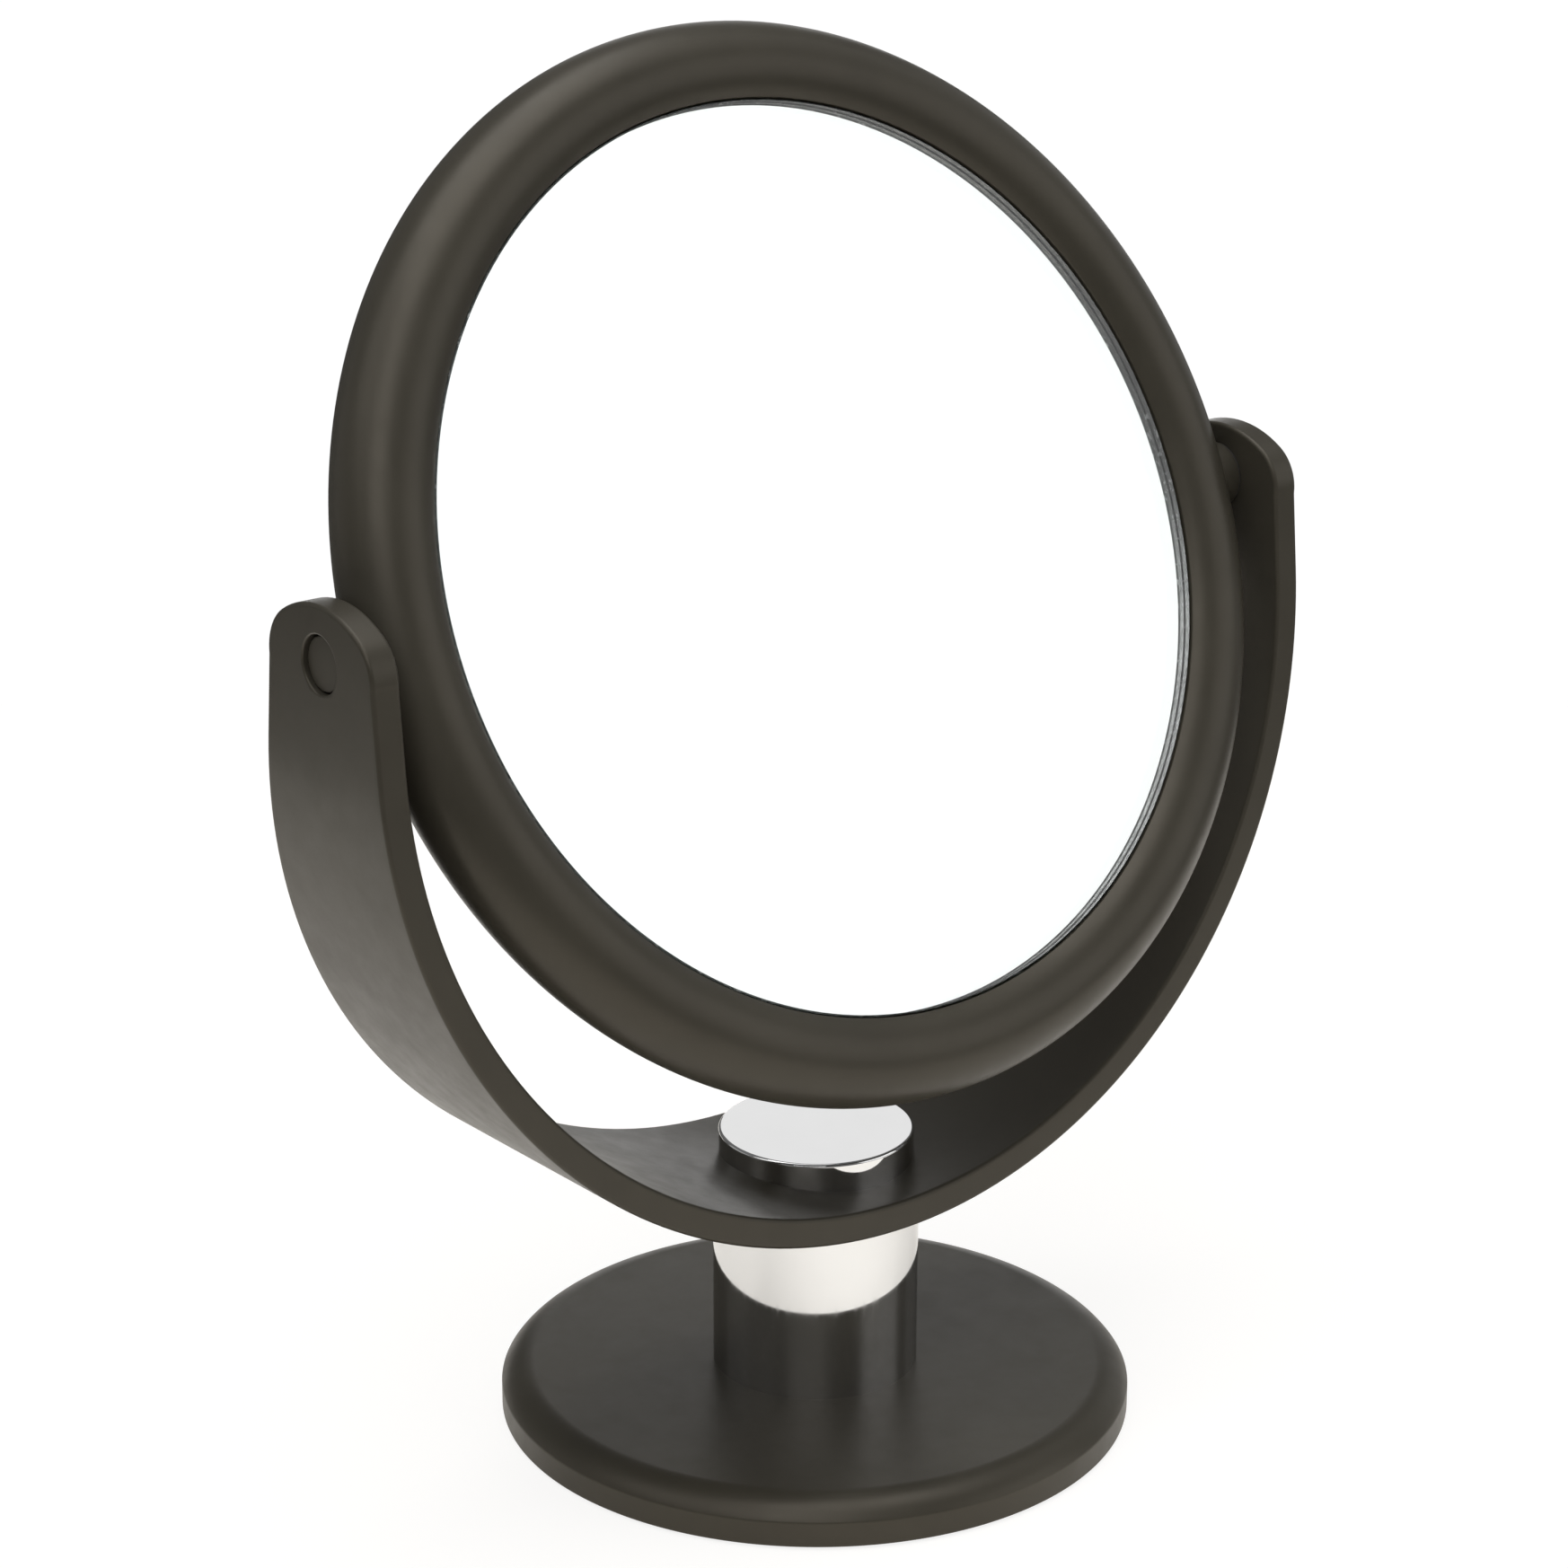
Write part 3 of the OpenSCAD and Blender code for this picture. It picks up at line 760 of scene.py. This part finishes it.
def yoke_mesh(bm, sizes):
    """The bent band: a rounded edge runs round the whole outline, and each face is a grid."""
    low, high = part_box("yoke")
    outer, thick, edge = high.x, sizes.band, sizes.edge
    bend = low.z + outer
    half_low, half_arm = high.y, sizes.arm_width / 2
    corner, crown = sizes.corner, sizes.crown
    corner_y = half_arm - corner
    crown_z = high.z - crown
    corner_z = crown_z + math.sqrt((crown - corner) ** 2 - corner_y**2)
    away = Vector((half_low - corner_y, low.z - corner_z))
    lean = math.atan2(away.x, -away.y) - math.asin(corner / away.length)
    taper = math.tan(lean)
    meets = math.degrees(math.atan2(corner_z - crown_z, corner_y))

    def arm_end(inset):
        """Outline of an arm's end from its +Y side to its -Y side, as (y, z)."""
        side = arc(corner_y, corner_z, corner - inset, -math.degrees(lean), meets, 12)
        crowned = arc(0, crown_z, crown - inset, meets, 180 - meets, 16)
        return side + crowned[1:-1] + [(-y, z) for y, z in side[::-1]]

    def half(z, inset):
        y, top = arm_end(inset)[0]
        return y + (top - z) * taper

    ends = len(arm_end(0)) - 1
    stations = [("arm", -1, i) for i in range(ARM_STEPS)]
    stations += [("bend", 0, -90 + 180 * i / BEND_STEPS) for i in range(BEND_STEPS + 1)]
    stations += [("arm", 1, i) for i in range(ARM_STEPS - 1, -1, -1)]

    def at(station, depth, inset):
        kind, side, value = station
        r = outer - depth
        if kind == "bend":
            t = math.radians(value)
            return r * math.sin(t), bend - r * math.cos(t)
        top = arm_end(inset)[0][1]
        return side * r, top + (bend - top) * value / ARM_STEPS

    def outline(depth, inset):
        points = []
        for station in stations:
            x, z = at(station, depth, inset)
            points.append((x, half(z, inset), z))
        points += [(outer - depth, y, z) for y, z in arm_end(inset)[1:-1]]
        for station in reversed(stations):
            x, z = at(station, depth, inset)
            points.append((x, -half(z, inset), z))
        points += [(depth - outer, y, z) for y, z in arm_end(inset)[-2:0:-1]]
        return points

    turns = [math.radians(90 * i / EDGE_STEPS) for i in range(EDGE_STEPS + 1)]
    levels = [(edge * (1 - math.cos(t)), edge * (1 - math.sin(t))) for t in turns]
    levels += [(thick - depth, inset) for depth, inset in reversed(levels)]
    loops = [[bm.verts.new(p) for p in outline(depth, inset)] for depth, inset in levels]
    count = len(loops[0])
    for near, far in zip(loops, loops[1:]):
        for k in range(count):
            n = (k + 1) % count
            bm.faces.new((near[k], near[n], far[n], far[k]))
    rows = len(stations)
    for loop, (depth, inset) in ((loops[0], levels[0]), (loops[-1], levels[-1])):
        grid = []
        for j, station in enumerate(stations):
            x, z = at(station, depth, inset)
            wide = half(z, inset)
            last = 2 * rows + ends - 2 - j
            inside = [bm.verts.new((x, wide * (1 - 2 * c / ends), z)) for c in range(1, ends)]
            grid.append([loop[j], *inside, loop[last]])
        for one, two in zip(grid, grid[1:]):
            for c in range(ends):
                bm.faces.new((one[c], one[c + 1], two[c + 1], two[c]))
        right_end = [grid[-1][0], *loop[rows:rows + ends - 1], grid[-1][-1]]
        left_end = [grid[0][0], *loop[:2 * rows + ends - 2:-1], grid[0][-1]]
        for row, end in ((grid[-1], right_end), (grid[0], left_end)):
            for c in range(ends):
                corners = [row[c], row[c + 1], end[c + 1], end[c]]
                bm.faces.new(list(dict.fromkeys(corners)))


def yoke_tool(sizes):
    """Recesses, pivot bores and the hole for the cap's spigot."""
    bm = bmesh.new()
    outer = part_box("yoke")[1].x
    inner = outer - sizes.band
    floor = inner + sizes.web
    beyond = 1 * MM
    lip = sizes.recess_lip
    mouth = arc(sizes.recess + lip, outer - lip, lip, 180, 90, 4)
    for side in (-1, 1):
        outline = [(0, inner - beyond), (sizes.bore, inner - beyond), (sizes.bore, floor),
                   (sizes.recess, floor), *mouth,
                   (sizes.recess + lip, outer + beyond), (0, outer + beyond)]
        lathe(bm, outline, pivot_matrix(side), SMALL)
    spigot = bpy.context.scene.mirror_stand.spigot + HIDDEN_GAP
    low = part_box("yoke")[0].z - beyond
    high = low + sizes.band + 3 * beyond
    lathe(bm, [(0, low), (spigot, low), (spigot, high), (0, high)], Matrix.Identity(4), SMALL)
    return to_object(bm, "yoke_tool")


class MIRROR_OT_yoke(bpy.types.Operator):
    """Makes the bent yoke with its rounded edges and pivot recesses"""

    bl_idname = "mirror.yoke"
    bl_label = "Yoke"

    def execute(self, context):
        sizes = context.scene.mirror_yoke
        bm = bmesh.new()
        yoke_mesh(bm, sizes)
        made = to_object(bm, "yoke_band")
        cut(made, yoke_tool(sizes))
        finish_coated(made, "stand", "yoke")
        return {"FINISHED"}


class MIRROR_OT_pivot_plugs(bpy.types.Operator):
    """Makes the two plugs that close the recesses"""

    bl_idname = "mirror.pivot_plugs"
    bl_label = "Pivot plugs"

    def execute(self, context):
        sizes = context.scene.mirror_yoke
        for word, side in (("left", -1), ("right", 1)):
            radius = round_radius(f"{word}_pivot_plug") - sizes.plug_gap
            start, end = reach(f"{word}_pivot_plug", side)
            outline = eased([(0, start, 0), (radius, start, sizes.plug_edge / 2),
                             (radius, end, sizes.plug_edge), (0, end, 0)])
            bm = bmesh.new()
            lathe(bm, outline, pivot_matrix(side), SMALL)
            finish_coated(to_object(bm, f"{word}_recess_plug"), "stand", f"{word}_pivot_plug")
        return {"FINISHED"}


class MIRROR_OT_column(bpy.types.Operator):
    """Makes the column tube, cut at its top to the yoke's round underside"""

    bl_idname = "mirror.column"
    bl_label = "Column"

    def execute(self, context):
        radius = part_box("column_tube")[1].x
        bore = radius - context.scene.mirror_stand.tube_wall
        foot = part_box("column_tube")[0].z
        low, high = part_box("yoke")
        bend = low.z + high.x

        def saddle(x):
            return bend - math.sqrt(high.x**2 - x**2)

        steps = [i / 12 for i in range(13)]
        wall = [(lambda x, t=t: foot + (saddle(x) - foot) * t) for t in steps]
        outline = [(radius, z) for z in wall] + [(bore, z) for z in reversed(wall)]
        bm = bmesh.new()
        lathe(bm, outline, Matrix.Identity(4), ROUND)
        finish_plated(to_object(bm, "column_tube_plated"), "column_tube")
        return {"FINISHED"}


class MIRROR_OT_cap(bpy.types.Operator):
    """Makes the cap, which sits in the yoke's hollow and ends in a spigot"""

    bl_idname = "mirror.cap"
    bl_label = "Cap"

    def execute(self, context):
        sizes = context.scene.mirror_stand
        low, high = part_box("column_cap")
        yoke_low, yoke_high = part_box("yoke")
        bend = yoke_low.z + yoke_high.x
        inner = yoke_high.x - context.scene.mirror_yoke.band
        radius, top, edge = high.x, high.z, sizes.cap_edge

        def hollow(x):
            return bend - math.sqrt(inner**2 - x**2)

        insert_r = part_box("cap_insert")[1].x
        insert_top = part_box("cap_insert")[1].z
        outline = [(0, insert_top), (insert_r, insert_top),
                   (insert_r, low.z), (sizes.spigot, low.z)]
        steps = 6
        step = (radius - sizes.spigot) / steps
        outline += [(sizes.spigot + step * i, hollow) for i in range(steps + 1)]
        rim = top - edge
        for t in (0.33, 0.66):
            outline.append((radius, lambda x, t=t: hollow(x) + (rim - hollow(x)) * t))
        outline += arc(radius - edge, rim, edge, 0, 90, 8)
        outline += [((radius - edge) * t, top) for t in (0.75, 0.5, 0.25, 0)]
        bm = bmesh.new()
        lathe(bm, outline, Matrix.Identity(4), ROUND)
        finish_plated(to_object(bm, "column_cap_plated"), "column_cap")
        return {"FINISHED"}


def base_outline(sizes, radius, top, rim):
    """Section of the base cover: flat top, round shoulder, upright side, hollow below."""
    shoulder_z = top - sizes.shoulder
    flat_r = radius - math.sqrt(sizes.shoulder**2 - (sizes.side_height - shoulder_z) ** 2)
    lip_r, lip_z, leaves = eased_lip(flat_r, shoulder_z, sizes.shoulder, radius, sizes.crease, -1)
    wall, inner_shoulder = sizes.cover_wall, sizes.shoulder - sizes.cover_wall
    side = radius - wall
    outline = [(sizes.bolt_hole, top), *[(flat_r * t, top) for t in (0.3, 0.5, 0.7, 0.85)]]
    outline += arc(flat_r, shoulder_z, sizes.shoulder, 90, leaves, 18)
    outline += arc(lip_r, lip_z, sizes.crease, leaves, 0, 6)[1:]
    outline += arc(radius - sizes.rim, rim + sizes.rim, sizes.rim, 0, -90, 6)
    inner_top = math.degrees(math.acos((side - flat_r) / inner_shoulder))
    outline += [(side, rim)] + arc(flat_r, shoulder_z, inner_shoulder, inner_top, 90, 10)
    return outline + [(sizes.bolt_hole, top - wall)]


class MIRROR_OT_base_cover(bpy.types.Operator):
    """Makes the base cover with its soft shoulder and the posts for its screws"""

    bl_idname = "mirror.base_cover"
    bl_label = "Base cover"

    def execute(self, context):
        sizes = context.scene.mirror_stand
        low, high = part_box("base_cover")
        ceiling = high.z - sizes.cover_wall
        bm = bmesh.new()
        lathe(bm, base_outline(sizes, high.x, high.z, low.z), Matrix.Identity(4), FINE)
        made = to_object(bm, "base_cover_shell")
        screws_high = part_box("base_screws")[1]
        plate_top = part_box("base_plate")[1].z
        ring = screws_high.y - sizes.screw_head
        posts, bores = bmesh.new(), bmesh.new()
        for degrees in BASE_SCREW_TURNS:
            turn = Matrix.Rotation(math.radians(degrees), 4, "Z")
            place = turn @ Matrix.Translation((ring, 0, 0))
            start, end = plate_top + sizes.post_gap, ceiling + POST_OVERLAP
            lathe(posts, [(0, start), (sizes.post, start), (sizes.post, end), (0, end)], place, 48)
            bore, deep = sizes.screw_bore, screws_high.z + BORE_OVERRUN
            low_end = start - MM
            lathe(bores, [(0, low_end), (bore, low_end), (bore, deep), (0, deep)], place, 32)
        cut(made, to_object(posts, "post_tool"), "UNION")
        cut(made, to_object(bores, "bore_tool"))
        finish_coated(made, "stand", "base_cover")
        return {"FINISHED"}


class MIRROR_OT_base_pad(bpy.types.Operator):
    """Makes the non-slip pad under the base"""

    bl_idname = "mirror.base_pad"
    bl_label = "Base pad"

    def execute(self, context):
        sizes = context.scene.mirror_stand
        low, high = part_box("base_pad")
        rings = [t / 8 for t in range(8)]
        outline = [(high.x * t, low.z) for t in rings]
        outline += arc(high.x - sizes.pad_edge, low.z + sizes.pad_edge, sizes.pad_edge, -90, 0, 5)
        outline += arc(high.x - sizes.pad_edge, high.z - sizes.pad_edge, sizes.pad_edge, 0, 90, 5)
        outline += [(high.x * t, high.z) for t in reversed(rings)]
        bm = bmesh.new()
        lathe(bm, outline, Matrix.Identity(4), FINE)
        finish_piece(to_object(bm, "base_pad_foam"), "stand", ["base_pad"],
                     [finish_named("pad_foam_rubber")])
        return {"FINISHED"}


INNER_FINISHES = {
    "white_foam_tape": ("flat_glass_tape", "magnifying_glass_tape"),
    "turned_brass": ("left_thread_insert", "right_thread_insert", "cap_insert"),
    "zinc_plate": ("left_pivot_screw", "right_pivot_screw", "left_spring_washer",
                   "right_spring_washer", "tie_bolt", "tie_washer", "base_screws"),
    "black_nylon": ("left_friction_washer", "right_friction_washer"),
    "moulded_black_plastic": ("column_head_insert", "column_foot_insert"),
    "cut_steel": ("base_weight", "base_plate"),
}


class MIRROR_OT_inner_parts(bpy.types.Operator):
    """Gives the carried-over inner parts their finishes"""

    bl_idname = "mirror.inner_parts"
    bl_label = "Inner parts"

    def execute(self, context):
        for finish, nodes in INNER_FINISHES.items():
            for node in nodes:
                mesh = frame["nodes"][node].data
                mesh.materials.clear()
                mesh.materials.append(finish_named(finish))
        return {"FINISHED"}


# ---- Studio ----


# Name, degrees round from the camera's side, degrees up, distance, width, height, brightness
SOFT_LIGHTS = (
    ("key_light", -8, 45, 1.5, 0.9, 0.7, 2.9),
    ("left_key_light", -65, 45, 1.5, 0.9, 0.7, 1.4),
    ("right_rear_light", 120, 45, 1.5, 0.9, 0.7, 0.45),
    ("backdrop", 180, 16, 1.5, 0.6, 0.5, 1.0),
    ("low_backdrop", 178, 1, 1.5, 0.9, 0.2, 2.2),
    ("left_panel", -100, 12, 1.5, 0.9, 0.7, 0.3),
    ("right_rear_panel", 140, 12, 1.5, 0.9, 0.7, 0.46),
    ("front_panel", 79, 18, 1.7, 1.5, 1.1, 1.2),
    ("top_light", 0, 90, 1.2, 1.1, 1.1, 3.2),
)


def around(azimuth, elevation):
    """Direction from the mirror, with azimuth 0 on the flat mirror's side."""
    flat = math.cos(elevation)
    return Vector((math.sin(azimuth) * flat, -math.cos(azimuth) * flat, math.sin(elevation)))


def soft_light(settings, name, turn, rise, distance, width, height, bright):
    """A rectangular soft light that faces the mirror."""
    data = bpy.data.lights.new(name, "AREA")
    data.shape, data.size, data.size_y = "RECTANGLE", width, height
    data.energy = math.pi * width * height * bright * settings.brightness
    away = around(settings.azimuth + math.radians(turn), math.radians(rise))
    made = bpy.data.objects.new(name, data)
    made.location = Vector((0, 0, settings.target)) + away * distance
    made.rotation_mode = "QUATERNION"
    made.rotation_quaternion = (-away).to_track_quat("-Z", "Y")
    made.visible_camera = False
    bpy.context.scene.collection.objects.link(made)


def studio_world(settings):
    """White to the eye, and a dim room that is lighter overhead to the surfaces."""
    world = bpy.data.worlds.new("studio")
    world.use_nodes = True
    tree = world.node_tree
    tree.nodes.clear()
    place = tree.nodes.new("ShaderNodeTexCoord")
    parts = tree.nodes.new("ShaderNodeSeparateXYZ")
    lift = tree.nodes.new("ShaderNodeMapRange")
    lift.inputs["From Min"].default_value = -0.2
    lift.inputs["To Min"].default_value = settings.room
    lift.inputs["To Max"].default_value = 2 * settings.room
    room = tree.nodes.new("ShaderNodeBackground")
    tree.links.new(place.outputs["Generated"], parts.inputs[0])
    tree.links.new(parts.outputs["Z"], lift.inputs["Value"])
    tree.links.new(lift.outputs["Result"], room.inputs["Strength"])
    sight = tree.nodes.new("ShaderNodeBackground")
    sight.inputs["Color"].default_value = (1, 1, 1, 1)
    sight.inputs["Strength"].default_value = WHITE
    path = tree.nodes.new("ShaderNodeLightPath")
    mix = tree.nodes.new("ShaderNodeMixShader")
    out = tree.nodes.new("ShaderNodeOutputWorld")
    tree.links.new(path.outputs["Is Camera Ray"], mix.inputs[0])
    tree.links.new(room.outputs[0], mix.inputs[1])
    tree.links.new(sight.outputs[0], mix.inputs[2])
    tree.links.new(mix.outputs[0], out.inputs["Surface"])
    bpy.context.scene.world = world


def floor_finish(settings):
    """Pale matte floor that is lit from below as well, and nearly white to the eye."""
    made = Finish("pale_floor")
    cloud = made.noise(9, 3)
    made.set(Base_Color=made.blend(cloud, toned(settings.floor, 0.99), settings.floor))
    made.set(Roughness=made.spread(cloud, 0.8, 0.9), Specular_IOR_Level=0.2)
    made.set(Emission_Color=settings.floor, Emission_Strength=settings.floor_glow)
    sight = made.node("ShaderNodeEmission", Color=(1, 1, 1, 1), Strength=WHITE)
    path = made.node("ShaderNodeLightPath").outputs["Is Camera Ray"]
    share = made.node("ShaderNodeMath", {"operation": "MULTIPLY"})
    made.tree.links.new(path, share.inputs[0])
    share.inputs[1].default_value = FLOOR_BLEACH
    mix = made.node("ShaderNodeMixShader")
    made.tree.links.new(share.outputs[0], mix.inputs[0])
    made.tree.links.new(made.shader.outputs[0], mix.inputs[1])
    made.tree.links.new(sight.outputs[0], mix.inputs[2])
    out = made.tree.nodes["Material Output"]
    made.tree.links.new(mix.outputs[0], out.inputs["Surface"])
    return made.material


def camera_axes(settings):
    back = around(settings.azimuth, settings.elevation)
    right = Vector((math.cos(settings.azimuth), math.sin(settings.azimuth), 0))
    up = back.cross(right)
    c, s = math.cos(settings.roll), math.sin(settings.roll)
    return right * c + up * s, up * c - right * s, back


class MIRROR_OT_studio(bpy.types.Operator):
    """Sets out the pale floor, the soft lights and the camera"""

    bl_idname = "mirror.studio"
    bl_label = "Studio"

    def execute(self, context):
        settings = context.scene.mirror_studio
        bm = bmesh.new()
        size, rings = settings.floor_size, 10
        outline = [(size * i / rings, 0) for i in range(rings + 1)]
        outline += [(size * i / rings, -2 * MM) for i in range(rings, -1, -1)]
        lathe(bm, outline, Matrix.Identity(4), 96)
        floor = to_object(bm, "studio_floor")
        floor.data.materials.append(floor_finish(settings))

        across, up, back = camera_axes(settings)
        data = bpy.data.cameras.new("camera")
        data.sensor_width, data.lens, data.shift_x = SENSOR, settings.lens, settings.shift
        data.clip_start, data.clip_end = 0.01, 20
        camera = bpy.data.objects.new("camera", data)
        place = Vector((0, 0, settings.target)) + back * settings.distance
        turn = Matrix((across, up, back)).transposed().to_4x4()
        camera.matrix_world = Matrix.Translation(place) @ turn
        context.scene.collection.objects.link(camera)
        context.scene.camera = camera

        for light in SOFT_LIGHTS:
            soft_light(settings, *light)
        studio_world(settings)
        context.scene.view_settings.view_transform = "Standard"
        return {"FINISHED"}


class MIRROR_PT_panel(bpy.types.Panel):
    """Lists the steps that make the mirror"""

    bl_idname = "MIRROR_PT_panel"
    bl_label = "Pedestal mirror"
    bl_space_type = "VIEW_3D"
    bl_region_type = "UI"
    bl_category = "Mirror"

    def draw(self, context):
        for operator in OPERATORS:
            self.layout.operator(operator.bl_idname)
        for group in GROUPS:
            box = self.layout.box()
            settings = getattr(context.scene, group)
            for name in settings.bl_rna.properties.keys():
                if name not in ("name", "rna_type"):
                    box.prop(settings, name)


OPERATORS = (
    MIRROR_OT_frame_ring,
    MIRROR_OT_flat_glass,
    MIRROR_OT_magnifying_glass,
    MIRROR_OT_pivot_bosses,
    MIRROR_OT_yoke,
    MIRROR_OT_pivot_plugs,
    MIRROR_OT_column,
    MIRROR_OT_cap,
    MIRROR_OT_base_cover,
    MIRROR_OT_base_pad,
    MIRROR_OT_inner_parts,
    MIRROR_OT_studio,
)


def register():
    for group in (*GROUPS.values(), *OPERATORS, MIRROR_PT_panel):
        bpy.utils.register_class(group)
    for name, group in GROUPS.items():
        setattr(bpy.types.Scene, name, PointerProperty(type=group))


def unregister():
    for name in GROUPS:
        delattr(bpy.types.Scene, name)
    for group in (MIRROR_PT_panel, *reversed(OPERATORS), *GROUPS.values()):
        bpy.utils.unregister_class(group)


def main():
    register()
    for operator in OPERATORS:
        step = operator.bl_idname.split(".")[1]
        getattr(bpy.ops.mirror, step)()


if __name__ == "__main__":
    main()
